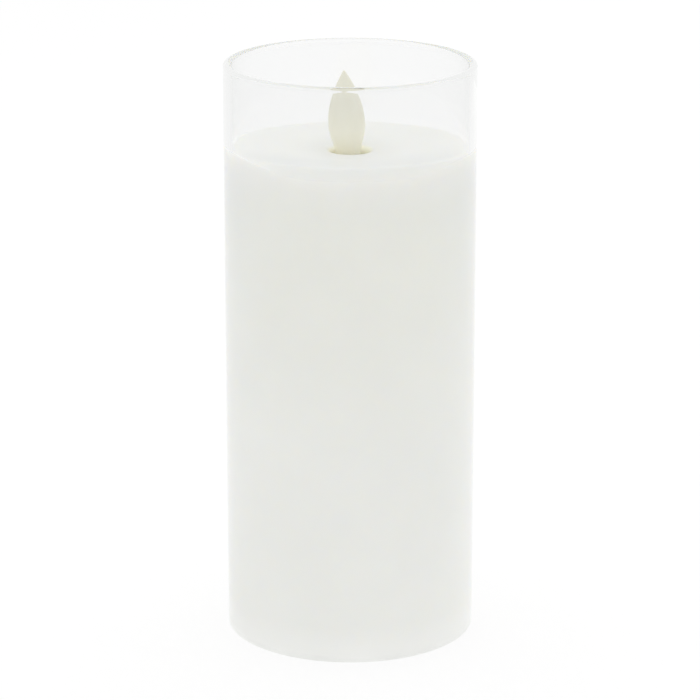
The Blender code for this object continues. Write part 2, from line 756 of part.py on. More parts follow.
def make_contact_bridge(hinge):
    bridge = prism("contact_bridge", stadium(cell_place, CONTACT_WIDTH / 2), bridge_bottom, bridge_top)
    hole = cylinder("stake_hole", STAKE_DIAMETER / 2 + CLEARANCE, (0, 0, bridge_bottom - OVERCUT),
                    (0, 0, bridge_top + OVERCUT))
    cut(bridge, hole)
    finish(bridge, nickel)
    hang_on(bridge, hinge)


# Cells, contacts and springs

def make_cell(name, place, bottom, nub_up):
    radius = CELL_DIAMETER / 2
    nub = CELL_NUB_DIAMETER / 2
    shoulder = CELL_LENGTH - CELL_NUB_LENGTH
    nub_edge = CELL_EDGE / 2
    profile = [(0, CELL_LENGTH), (nub - nub_edge, CELL_LENGTH), (nub, CELL_LENGTH - nub_edge),
               (nub, shoulder), (radius - CELL_EDGE, shoulder), (radius, shoulder - CELL_EDGE),
               (radius, CELL_EDGE), (radius - CELL_EDGE, 0), (0, 0)]
    cell = turned(name, profile, COARSE, closed=False)
    cell.location = (place, 0, bottom if nub_up else bottom + CELL_LENGTH)
    cell.rotation_euler.x = 0 if nub_up else math.pi
    finish(cell, cell_jacket)


def make_contact(name, side):
    """A plate under the roof of the well, with a tail that goes up through its slot."""
    half = CONTACT_WIDTH / 2
    middle = side * cell_place
    plate = box(name, (middle - half, -half, contact_bottom), (middle + half, half, contact_top))
    tail = box(f"{name}_tail", (side * tail_place - CONTACT_THICKNESS / 2, -TAIL_WIDTH / 2, contact_bottom),
               (side * tail_place + CONTACT_THICKNESS / 2, TAIL_WIDTH / 2, tail_top))
    fuse(plate, tail)
    finish(plate, nickel)


def spring_points(bottom, wide_below):
    """A conical helix one SPRING_LENGTH high over its wire."""
    per_turn = 8
    count = SPRING_TURNS * per_turn
    rise = SPRING_LENGTH - SPRING_WIRE
    points = []
    for i in range(count + 1):
        share = i / count
        narrowing = share if wide_below else 1 - share
        radius = SPRING_WIDE_RADIUS + (SPRING_NARROW_RADIUS - SPRING_WIDE_RADIUS) * narrowing
        angle = math.tau * i / per_turn
        points.append(Vector((radius * math.cos(angle), radius * math.sin(angle),
                              bottom + SPRING_WIRE / 2 + rise * share)))
    return points


def least_gap(points, diameter, neighbours):
    """The least gap between turns, on points that are further than neighbours apart along the wire."""
    gaps = [(a - b).length for i, a in enumerate(points) for b in points[i + neighbours:]]
    return min(gaps) - diameter


def make_spring(name, place, bottom, wide_below, hinge=None):
    points = spring_points(bottom, wide_below)
    print(f"{name}: least gap between turns {least_gap(points, SPRING_WIRE, 5) / MM:.2f} mm")
    spring = curve_solid(name, tube_curve(name, points, SPRING_WIRE, 1))
    spring.location.x = place
    bpy.context.view_layer.update()
    finish(spring, steel)
    if hinge:
        hang_on(spring, hinge)


def make_battery_set(hinge):
    make_cell("battery_left", -cell_place, left_cell_bottom, nub_up=True)
    make_cell("battery_right", cell_place, spring_bottom, nub_up=False)
    make_contact("contact_positive", -1)
    make_contact("contact_negative", 1)
    make_contact_bridge(hinge)
    make_spring("spring_door", -cell_place, spring_bottom, wide_below=True, hinge=hinge)
    make_spring("spring_top", cell_place, spring_bottom + CELL_LENGTH + CLEARANCE, wide_below=False)


# Slide switch

def make_switch():
    half_x = switch_length / 2
    half_y = switch_width / 2
    body = box("switch_body", (-half_x, SWITCH_OFFSET - half_y, seat_height),
               (half_x, SWITCH_OFFSET + half_y, seat_height + SWITCH_HEIGHT))
    room_x = half_x - SWITCH_WALL
    room_y = half_y - SWITCH_WALL
    room = box("switch_room", (-room_x, SWITCH_OFFSET - room_y, seat_height - OVERCUT),
               (room_x, SWITCH_OFFSET + room_y, seat_height + SWITCH_HEIGHT - SWITCH_WALL))
    cut(body, room)
    for i in (-1, 0, 1):
        x = i * TERMINAL_PITCH
        terminal = box(f"switch_terminal_{i}",
                       (x - TERMINAL_WIDTH / 2, SWITCH_OFFSET - TERMINAL_THICKNESS / 2,
                        seat_height + SWITCH_HEIGHT - SWITCH_WALL / 2),
                       (x + TERMINAL_WIDTH / 2, SWITCH_OFFSET + TERMINAL_THICKNESS / 2, terminal_top))
        fuse(body, terminal)
    finish(body, steel)

    knob = KNOB_SIZE / 2
    slider = box("switch_slider", (-knob, -knob, KNOB_TABLE_GAP),
                 (knob, knob, seat_height + SLIDER_THICKNESS / 2))
    flange = box("slider_flange", (-SLIDER_LENGTH / 2, -SLIDER_WIDTH / 2, seat_height),
                 (SLIDER_LENGTH / 2, SLIDER_WIDTH / 2, seat_height + SLIDER_THICKNESS))
    fuse(slider, flange)
    finish(slider, black_plastic)
    slider.location.y = SWITCH_OFFSET


# Flame module

def led_axis(side):
    """The middle of a diode and the direction that it shines, up and in towards the flame."""
    middle = Vector((side * LED_OFFSET, 0, pivot_height))
    aim = Vector((0, 0, pivot_height + LED_AIM))
    return middle, (aim - middle).normalized()


def make_housing():
    """The turned housing with its bosses, split on the plane that the pivot wire crosses."""
    lip_bore = housing_bore - LIP_WIDTH
    collar_top = wax_underside - CLEARANCE
    profile = [(collar_bore, collar_top), (collar_radius, collar_top), (collar_radius, flange_top),
               (flange_radius, flange_top), (flange_radius, flange_bottom), (housing_radius, flange_bottom),
               (housing_radius, housing_bottom), (lip_bore, housing_bottom), (lip_bore, lip_top),
               (housing_bore, lip_top), (housing_bore, roof_bottom),
               (collar_bore + FUNNEL_FLARE, roof_bottom), (collar_bore, flange_top)]
    housing = turned("housing", profile, MEDIUM)
    wall_middle = housing_bore + HOUSING_WALL / 2
    for side in (-1, 1):
        boss = cylinder(f"pivot_boss_{side}", PIVOT_BOSS_DIAMETER / 2,
                        (0, side * (EYE_LENGTH / 2 + EYE_SIDE_PLAY), pivot_height),
                        (0, side * wall_middle, pivot_height))
        fuse(housing, boss)
        add_led_seat(housing, side, wall_middle)
    wire_end = housing_bore - PIVOT_WIRE_SEAT
    bore = cylinder("pivot_bore", PIVOT_WIRE_DIAMETER / 2 + PIVOT_CLEARANCE, (0, -wire_end, pivot_height),
                    (0, wire_end, pivot_height))
    cut(housing, bore)
    for i, (x, y) in enumerate(ring_places(module_screw_circle)):
        hole = cylinder(f"flange_hole_{i}", screw_hole, (x, y, flange_bottom - OVERCUT),
                        (x, y, flange_top + OVERCUT))
        cut(housing, hole)
    settle(housing)
    reach = 2 * flange_radius
    for name, side in (("housing_front", -1), ("housing_rear", 1)):
        half = construction(name, housing.data)
        near = side * CLEARANCE / 2
        far = -side * reach
        other_half = box(f"{name}_split", (-reach, min(near, far), housing_bottom - OVERCUT),
                         (reach, max(near, far), hole_rim + OVERCUT))
        cut(half, other_half)
        finish(half, ivory)


def add_led_seat(housing, side, wall_middle):
    """A sleeve for one diode, carried by two cheeks on the wall."""
    middle, up = led_axis(side)
    sleeve_radius = LED_DIAMETER / 2 + CLEARANCE + LED_SLEEVE_WALL
    sleeve = cylinder(f"led_sleeve_{side}", sleeve_radius, middle - up * LED_SLEEVE_LENGTH / 2,
                      middle + up * LED_SLEEVE_LENGTH / 2)
    pocket = cylinder(f"led_pocket_{side}", LED_DIAMETER / 2 + CLEARANCE, middle - up * LED_SLEEVE_LENGTH,
                      middle + up * LED_SLEEVE_LENGTH)
    fuse(housing, sleeve)
    for edge in (-1, 1):
        near = edge * (LED_DIAMETER / 2 + LED_FLANGE + CLEARANCE)
        far = near + edge * CHEEK_THICKNESS
        low_x, high_x = sorted((side * LED_OFFSET, side * wall_middle))
        cheek = box(f"led_cheek_{side}_{edge}", (low_x, min(near, far), pivot_height - CHEEK_HEIGHT / 2),
                    (high_x, max(near, far), pivot_height + CHEEK_HEIGHT / 2))
        fuse(housing, cheek)
    cut(housing, pocket)


def make_led(name, side):
    """A diode: domed lens with its flange, and two leads that go down to the board."""
    middle, up = led_axis(side)
    radius = LED_DIAMETER / 2
    flange_low = -LED_SLEEVE_LENGTH / 2 - CLEARANCE - LED_FLANGE_THICKNESS
    flange_high = flange_low + LED_FLANGE_THICKNESS
    dome = flange_low + LED_LENGTH - radius
    profile = [(0, dome + radius)] + arc((0, dome), radius, 67.5, 0, 3)
    profile += [(radius, flange_high), (radius + LED_FLANGE, flange_high), (radius + LED_FLANGE, flange_low),
                (0, flange_low)]
    led = turned(name, profile, SMALL, closed=False)
    led.matrix_world = Matrix.Translation(middle) @ up.to_track_quat("Z", "Y").to_matrix().to_4x4()
    for edge in (-1, 1):
        across = Vector((0, edge * LED_LEAD_PITCH / 2, 0))
        root = middle + up * flange_high + across
        bend = middle + up * (flange_low - LED_LEAD_DROP) + across
        foot = Vector((bend.x, bend.y, board_top + CLEARANCE))
        route = [root, bend, foot]
        lead = curve_solid(f"{name}_lead_{edge}", tube_curve("lead", route, LED_LEAD_DIAMETER, 1))
        fuse(led, lead)
    finish(led, amber_lens)


def flame_outline():
    """Half outline of the flame over the hole's rim, from the tip down to the skirt."""
    half = FLAME_WIDTH / 2
    neck = FLAME_NECK_WIDTH / 2
    above = FLAME_HEIGHT - FLAME_BELLY
    tip_handle = (FLAME_TIP_FULLNESS * half, FLAME_HEIGHT - FLAME_TIP_PULL * above)
    upper = bezier((FLAME_TIP_RADIUS, FLAME_HEIGHT), tip_handle,
                   (half, FLAME_BELLY + FLAME_UPPER_PULL * above), (half, FLAME_BELLY), 6)
    lower = bezier((half, FLAME_BELLY), (half, FLAME_BELLY - FLAME_LOWER_PULL * FLAME_BELLY),
                   (neck, FLAME_NECK_PULL * FLAME_BELLY), (neck, -FLAME_SKIRT), 5)
    return upper + lower[1:]


def make_flame(pivot):
    outline = [(r, z + PIVOT_DEPTH) for r, z in flame_outline()]
    tip = (0, outline[0][1] + FLAME_TIP_RADIUS / 2)
    inside = [(r - FLAME_WALL, z) for r, z in reversed(outline) if r > 1.6 * FLAME_WALL]
    roof = (0, inside[-1][1] + inside[-1][0])
    bulb = turned("flame_bulb", [tip] + outline + inside + [roof], MEDIUM, closed=False)
    settle(bulb)
    bulb.data.transform(Matrix.Diagonal((1, FLAME_FLATNESS, 1, 1)))
    show(bulb, ivory, pivot)

    make_flame_stem(pivot)

    radius = MAGNET_DIAMETER / 2
    magnet = cylinder("flame_magnet", radius, (0, 0, -PENDULUM_LENGTH),
                      (0, 0, MAGNET_THICKNESS - PENDULUM_LENGTH), COARSE)
    finish(magnet, nickel, pivot)


def make_flame_stem(pivot):
    neck = FLAME_NECK_WIDTH / 2
    plug = (neck - FLAME_WALL) * FLAME_FLATNESS - CLEARANCE
    shoulder = neck * FLAME_FLATNESS
    shoulder_top = PIVOT_DEPTH - FLAME_SKIRT - CLEARANCE
    shoulder_bottom = shoulder_top - SHOULDER_THICKNESS
    arm = STEM_DIAMETER / 2
    cup_bore = MAGNET_DIAMETER / 2 + CLEARANCE
    cup_radius = cup_bore + CUP_WALL
    cup_ceiling = MAGNET_THICKNESS + CLEARANCE - PENDULUM_LENGTH
    cup_top = cup_ceiling + CUP_ROOF
    taper = shoulder - arm
    profile = [(0, shoulder_top + STEM_PLUG), (plug, shoulder_top + STEM_PLUG), (plug, shoulder_top),
               (shoulder, shoulder_top), (shoulder, shoulder_bottom), (arm, shoulder_bottom - taper),
               (arm, cup_top + arm), (cup_radius, cup_top), (cup_radius, -PENDULUM_LENGTH + CLEARANCE),
               (cup_bore, -PENDULUM_LENGTH + CLEARANCE), (cup_bore, cup_ceiling), (0, cup_ceiling)]
    stem = turned("flame_stem", profile, COARSE, closed=False)
    eye = cylinder("pivot_eye", EYE_DIAMETER / 2, (0, -EYE_LENGTH / 2, 0), (0, EYE_LENGTH / 2, 0))
    bore = cylinder("eye_bore", PIVOT_WIRE_DIAMETER / 2 + PIVOT_CLEARANCE, (0, -EYE_LENGTH, 0),
                    (0, EYE_LENGTH, 0))
    fuse(stem, eye)
    cut(stem, bore)
    finish(stem, ivory, pivot)


def make_pivot_wire():
    wire_end = housing_bore - PIVOT_WIRE_SEAT - CLEARANCE
    wire = cylinder("pivot_wire", PIVOT_WIRE_DIAMETER / 2, (0, -wire_end, pivot_height),
                    (0, wire_end, pivot_height))
    finish(wire, steel)


def make_coil():
    radius = COIL_DIAMETER / 2
    hub = COIL_HUB_DIAMETER / 2
    bore = COIL_BORE_DIAMETER / 2
    lower = coil_bottom + COIL_FLANGE
    upper = coil_top - COIL_FLANGE
    spool = [(bore, coil_top), (radius, coil_top), (radius, upper), (hub, upper), (hub, lower),
             (radius, lower), (radius, coil_bottom), (bore, coil_bottom)]
    finish(turned("coil_bobbin", spool, COARSE), white_plastic)
    inside = hub + CLEARANCE
    outside = radius - CLEARANCE
    ring = [(inside, upper - CLEARANCE), (outside, upper - CLEARANCE), (outside, lower + CLEARANCE),
            (inside, lower + CLEARANCE)]
    finish(turned("coil_winding", ring, COARSE), copper)


def make_board():
    board = cylinder("control_board", housing_bore - CLEARANCE, (0, 0, board_bottom),
                     (0, 0, board_top), MEDIUM)
    finish(board, board_green)
    length, width, height = CHIP_SIZE
    chip = box("controller_chip", (-length / 2, -width / 2, under_board - height),
               (length / 2, width / 2, under_board))
    finish(chip, black_plastic)

    can = CAPACITOR_DIAMETER / 2
    rounding = can * 0.2
    profile = [(0, 0), (can - rounding, 0), (can, -rounding), (can, rounding - CAPACITOR_LENGTH),
               (can - rounding, -CAPACITOR_LENGTH), (0, -CAPACITOR_LENGTH)]
    capacitor = turned("capacitor", profile, COARSE, closed=False)
    capacitor.location = (*CAPACITOR_PLACE, under_board)
    finish(capacitor, cell_jacket)

    half = TRANSISTOR_DIAMETER / 2
    outline = arc((0, 0), half, -30, 210, SMALL)
    transistor = prism("transistor", outline, under_board - TRANSISTOR_LENGTH, under_board)
    transistor.location.x = TRANSISTOR_PLACE[0]
    transistor.location.y = TRANSISTOR_PLACE[1]
    finish(transistor, black_plastic)


# Leads from the well to the switch and the board

def make_lead(name, points, material):
    route = smooth_route([Vector(p) for p in points], LEAD_STEP)
    lead = curve_solid(name, tube_curve(name, route, LEAD_DIAMETER, 1))
    finish(lead, material)


def make_leads():
    tail_end = tail_top + CLEARANCE
    switch_end = terminal_top + CLEARANCE
    behind_well = well_radius + WELL_WALL + 4 * LEAD_DIAMETER
    rise = 3 * LEAD_DIAMETER
    middle = (tail_end + under_board) / 2
    make_lead("wire_positive", [
        (-tail_place, 0, tail_end),
        (-tail_place, 0, tail_end + rise),
        (-tail_place, behind_well / 2, tail_end + rise),
        (-cell_place, behind_well, tail_end - 2 * rise),
        (-cell_place / 2, behind_well + LEAD_DIAMETER, (tail_end + switch_end) / 2),
        (-TERMINAL_PITCH, SWITCH_OFFSET, switch_end + 2 * rise),
        (-TERMINAL_PITCH, SWITCH_OFFSET, switch_end),
    ], red_insulation)
    make_lead("wire_switched", [
        (TERMINAL_PITCH, SWITCH_OFFSET, switch_end),
        (TERMINAL_PITCH, SWITCH_OFFSET, switch_end + 2 * rise),
        (cell_place / 2, behind_well + LEAD_DIAMETER, tail_end),
        (SWITCHED_PAD[0], behind_well - LEAD_DIAMETER, middle),
        (*SWITCHED_PAD, under_board - rise),
        (*SWITCHED_PAD, under_board),
    ], red_insulation)
    make_lead("wire_negative", [
        (tail_place, 0, tail_end),
        (tail_place, 0, tail_end + rise),
        ((tail_place + NEGATIVE_PAD[0]) / 2, NEGATIVE_PAD[1] / 2, middle),
        (*NEGATIVE_PAD, under_board - rise),
        (*NEGATIVE_PAD, under_board),
    ], black_insulation)


def build():
    make_glass_sleeve()
    make_wax_shell()
    make_core_liner()
    make_base_plate()
    make_adhesive_bead()
    make_all_screws()
    door_hinge = joint_empty("door_hinge", (0, door_radius, floor_bottom))
    make_battery_door(door_hinge)
    make_battery_set(door_hinge)
    make_switch()
    make_housing()
    make_led("led_left", -1)
    make_led("led_right", 1)
    flame_pivot = joint_empty("flame_pivot", (0, 0, pivot_height), -FLAME_LEAN)
    make_flame(flame_pivot)
    make_pivot_wire()
    make_coil()
    make_board()
    make_leads()
    for solid in list(CUTTERS.objects):
        bpy.data.objects.remove(solid)


build()
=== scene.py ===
"""Looks of the flameless LED candle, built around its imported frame.

Metres, +Z up, and the front faces -Y. The glass, the wax, the bead under it, the flame and the two
battery springs are made again with fine facets in the places of their solids. The other pieces
keep their solids, with materials.
"""

import math

import bmesh
import bpy
from mathutils import Matrix, Vector, noise


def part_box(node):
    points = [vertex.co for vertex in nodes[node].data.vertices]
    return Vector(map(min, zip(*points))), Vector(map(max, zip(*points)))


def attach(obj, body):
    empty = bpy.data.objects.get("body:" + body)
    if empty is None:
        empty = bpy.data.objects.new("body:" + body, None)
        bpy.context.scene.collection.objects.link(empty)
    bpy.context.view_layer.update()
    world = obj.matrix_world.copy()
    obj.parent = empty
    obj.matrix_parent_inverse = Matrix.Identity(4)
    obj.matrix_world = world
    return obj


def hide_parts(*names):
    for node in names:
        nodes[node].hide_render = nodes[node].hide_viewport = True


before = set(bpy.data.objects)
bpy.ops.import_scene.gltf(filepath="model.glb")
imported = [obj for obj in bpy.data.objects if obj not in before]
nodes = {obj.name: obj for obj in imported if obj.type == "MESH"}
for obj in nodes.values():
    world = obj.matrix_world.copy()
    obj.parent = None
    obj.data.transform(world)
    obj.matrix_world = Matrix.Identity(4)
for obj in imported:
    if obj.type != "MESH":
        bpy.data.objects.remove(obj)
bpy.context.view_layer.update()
scene = bpy.context.scene

MM = 0.001

# Camera, fitted to the glass's rim, sides and foot
PHOTO_SIDE = 700
FOCAL_PIXELS = 3247
SENSOR = 36.0
CAMERA_PLACE = (-0.00006, -0.939, 0.3665)
CAMERA_PITCH = math.radians(16.60)
CLIP_NEAR = 0.05
CLIP_FAR = 20

# Glass sleeve
GLASS_RADIUS = 37.5 * MM
GLASS_BORE = 35.2 * MM
GLASS_TOP = 175 * MM
GLASS_BOTTOM = 0.3 * MM
GLASS_FOOT_EDGE = 0.6 * MM
GLASS_RIM_HEIGHT = 0.8 * MM
GLASS_RIM_POWER = 1.75
GLASS_RIM_TINT_REACH = 0.7 * MM
RIM_BEAD = 0.25 * MM
RIM_BEAD_REACH = 1.1 * MM

# Wax pillar
WAX_RADIUS = 35.23 * MM
WAX_BORE = 31.2 * MM
WAX_TOP = 150.4 * MM
WAX_BOTTOM = 1.5 * MM
WAX_UNDERSIDE = 145.4 * MM
WAX_SHOULDER = 3.2 * MM
WAX_CREST = WAX_RADIUS - WAX_SHOULDER
WAX_DISH = 1.7 * MM
WAX_FOOT_EDGE = 0.15 * MM
HOLE_RADIUS = 5.2 * MM
HOLE_EDGE = 2.6 * MM
HOLE_LIP = HOLE_RADIUS + HOLE_EDGE

# How the wax was poured: its top swells faintly, and meets the glass almost level at both sides
TOP_SWELL = 0.10 * MM
SWELL_REACH = 14 * MM
SWELL_SCALE = 45
FULL_SHOULDER = 3.8 * MM
SIDE_SHOULDER = 0.6 * MM
LEFT_DROP = -0.3 * MM
RIGHT_DROP = 0.6 * MM
SHOULDER_POWER = 1.7

# Where the shoulder starts and is full, in degrees from the right side, and how far that wanders
RIGHT_FADE = (20, 65)
LEFT_FADE = (160, 110)
FADE_WANDER = 8
WANDER_SCALE = 25

# Tones of the wax at heights in millimetres, with painted light and shade: palest at the foot with
# painted bounce light from the floor, and darkest and warmest with painted shade under the top
WAX_TONE_RANGE = 150 * MM
WAX_TONES_AND_PAINTED_LIGHT = (
    (2, (0.872, 0.876, 0.848)),
    (11, (0.846, 0.852, 0.818)),
    (60, (0.846, 0.852, 0.818)),
    (120, (0.822, 0.828, 0.778)),
    (138, (0.822, 0.828, 0.780)),
    (145, (0.840, 0.844, 0.808)),
    (149, (0.838, 0.844, 0.815)),
)

# Where the painted shadow of the flame greys the front of the wax top, and how that fades out at its
# edge and below
FLAME_SHADOW_START = -6 * MM
FLAME_SHADOW_FULL = -19 * MM
FLAME_SHADOW_EDGE = 3 * MM
FLAME_SHADOW_BOTTOM = 146.5 * MM
FLAME_SHADOW_TOP = 148 * MM

# Where the painted shade in a ring round the hole ends, in lips, and where the painted warm light in
# its throat ends, in shares of the edge
HOLE_SHADE_REACH = 2.2
LIT_THROAT_REACH = 0.8

# Heights between which the wax turns from opaque, at its foot, to translucent
OPAQUE_TOP = 2 * MM
TRANSLUCENT_BOTTOM = 9 * MM

# Bead under the wax's foot
BEAD_INNER_RADIUS = 33.1 * MM
BEAD_BOTTOM = 0.33 * MM
BEAD_EDGE = 0.3 * MM

# Flame on its pivot
PIVOT_HEIGHT = 136.2 * MM
FLAME_LEAN = math.radians(2.9)
FLAME_BASE = 12.5 * MM
FLAME_HEIGHT = 23.7 * MM
FLAME_WIDTH = 10.9 * MM
FLAME_FLATNESS = 0.75
FLAME_BELLY = 8.3 * MM
FLAME_SKIRT = 2.5 * MM
FLAME_NECK_WIDTH = 7.1 * MM
FLAME_WALL = 0.9 * MM
FLAME_HOLLOW_LIMIT = 1.6 * FLAME_WALL
FLAME_TIP_RADIUS = 0.25 * MM
FLAME_TIP_FULLNESS = 0.74
FLAME_TIP_PULL = 0.40
FLAME_UPPER_PULL = 0.28
FLAME_LOWER_PULL = 0.62
FLAME_NECK_PULL = 0.20
# Heights between which the flame's painted light at its foot fades into its upper tone
FLAME_LIT_FOOT_HEIGHT = 148 * MM
FLAME_PALE_HEIGHT = 163 * MM

# Cells and diodes
CELL_PLACE = 7.65 * MM
NUB_RADIUS = 3.2 * MM
LED_LEG_TOP = 133.8 * MM

# Battery springs
SPRING_LENGTH = 4.5 * MM
SPRING_WIRE = 0.6 * MM
SPRING_WIDE_RADIUS = 4.0 * MM
SPRING_NARROW_RADIUS = 2.2 * MM
SPRING_TURNS = 4

# Coil winding and board
WINDING_PITCH = 0.25 * MM
WEAVE_PITCH = 0.5 * MM
TRACK_PITCHES = (2.1 * MM, 3.3 * MM)

# Facets
ROUND = 192
GLASS_ROUND = 512
FLAME_ROUND = 96
WIRE_ROUND = 12
SPRING_POINTS = 48
RIM_STEPS = 24
BEAD_STEPS = 12
FOOT_EDGE_STEPS = 6
SMALL_EDGE_STEPS = 5
HOLE_EDGE_STEPS = 10
DISH_STEPS = 24
SHOULDER_STEPS = 14
WAX_SIDE_STEPS = 48
FLAME_UPPER_STEPS = 40
FLAME_LOWER_STEPS = 36
WALL_HOLD = 0.3 * MM
POLE_RADIUS = 0.001 * MM
SHARP_ANGLE = math.radians(40)

# Studio, with the floor just under the foot
FLOOR_REACH = 4.0
FLOOR_HEIGHT = -0.2 * MM
FLOOR_COLOUR = (0.25, 0.25, 0.25, 1)
FLOOR_GLOW = 0.735
WORLD_COLOUR = (1, 1, 1, 1)
WORLD_STRENGTH = 1.0
LAMP_TARGET = (0, 0, 0.09)

# A Mix node's sockets for colours, and a Wave node's own factor on its scale
FIRST_COLOUR = 6
SECOND_COLOUR = 7
MIXED_COLOUR = 2
WAVE_FACTOR = 20


def set_up_camera():
    """The photo's camera, pitched down at the candle."""
    data = bpy.data.cameras.new("photo_camera")
    data.sensor_width = SENSOR
    data.lens = SENSOR * FOCAL_PIXELS / PHOTO_SIDE
    data.clip_start = CLIP_NEAR
    data.clip_end = CLIP_FAR
    camera = bpy.data.objects.new("photo_camera", data)
    camera.location = CAMERA_PLACE
    camera.rotation_euler = (math.pi / 2 - CAMERA_PITCH, 0, 0)
    scene.collection.objects.link(camera)
    scene.camera = camera


set_up_camera()


# Outlines

def arc(centre, radius, first, last, steps):
    """Points of a circular arc, with its angles in degrees."""
    angles = [math.radians(first + (last - first) * i / steps) for i in range(steps + 1)]
    return [(centre[0] + radius * math.cos(a), centre[1] + radius * math.sin(a)) for a in angles]


def line(start, end, steps):
    """Points on a straight line, without its two ends."""
    shares = [i / steps for i in range(1, steps)]
    return [(start[0] + (end[0] - start[0]) * t, start[1] + (end[1] - start[1]) * t) for t in shares]


def bezier(start, start_handle, end_handle, end, steps):
    """Points of a cubic curve from start to end."""
    corners = (start, start_handle, end_handle, end)
    points = []
    for i in range(steps + 1):
        t = i / steps
        weights = ((1 - t) ** 3, 3 * t * (1 - t) ** 2, 3 * t ** 2 * (1 - t), t ** 3)
        points.append(tuple(sum(w * c[k] for w, c in zip(weights, corners)) for k in (0, 1)))
    return points


# Meshes

def new_piece(name, verts, faces, material):
    """A smooth mesh object whose faces point outwards."""
    mesh = bpy.data.meshes.new(name)
    mesh.from_pydata(verts, [], faces)
    bm = bmesh.new()
    bm.from_mesh(mesh)
    bmesh.ops.recalc_face_normals(bm, faces=bm.faces)
    bm.to_mesh(mesh)
    bm.free()
    mesh.shade_smooth()
    mesh.set_sharp_from_angle(angle=SHARP_ANGLE)
    mesh.materials.append(material)
    piece = bpy.data.objects.new(name, mesh)
    scene.collection.objects.link(piece)
    return piece


def lathe(name, profile, segments, material, closed=True, shape=None):
    """A profile of (radius, height) points turned about Z. shape may move each point of the surface."""
    verts = []
    rings = []
    for radius, height in profile:
        start = len(verts)
        if radius < POLE_RADIUS:
            verts.append(Vector((0, 0, height)))
            rings.append([start] * segments)
            continue
        for i in range(segments):
            turn = math.tau * i / segments
            verts.append(Vector((radius * math.cos(turn), radius * math.sin(turn), height)))
        rings.append(list(range(start, start + segments)))
    pairs = list(zip(rings, rings[1:]))
    if closed:
        pairs.append((rings[-1], rings[0]))
    faces = []
    for lower, upper in pairs:
        for i in range(segments):
            j = (i + 1) % segments
            corners = list(dict.fromkeys((lower[i], lower[j], upper[j], upper[i])))
            if len(corners) > 2:
                faces.append(corners)
    if shape:
        verts = [shape(v) for v in verts]
    return new_piece(name, verts, faces, material)


# Materials

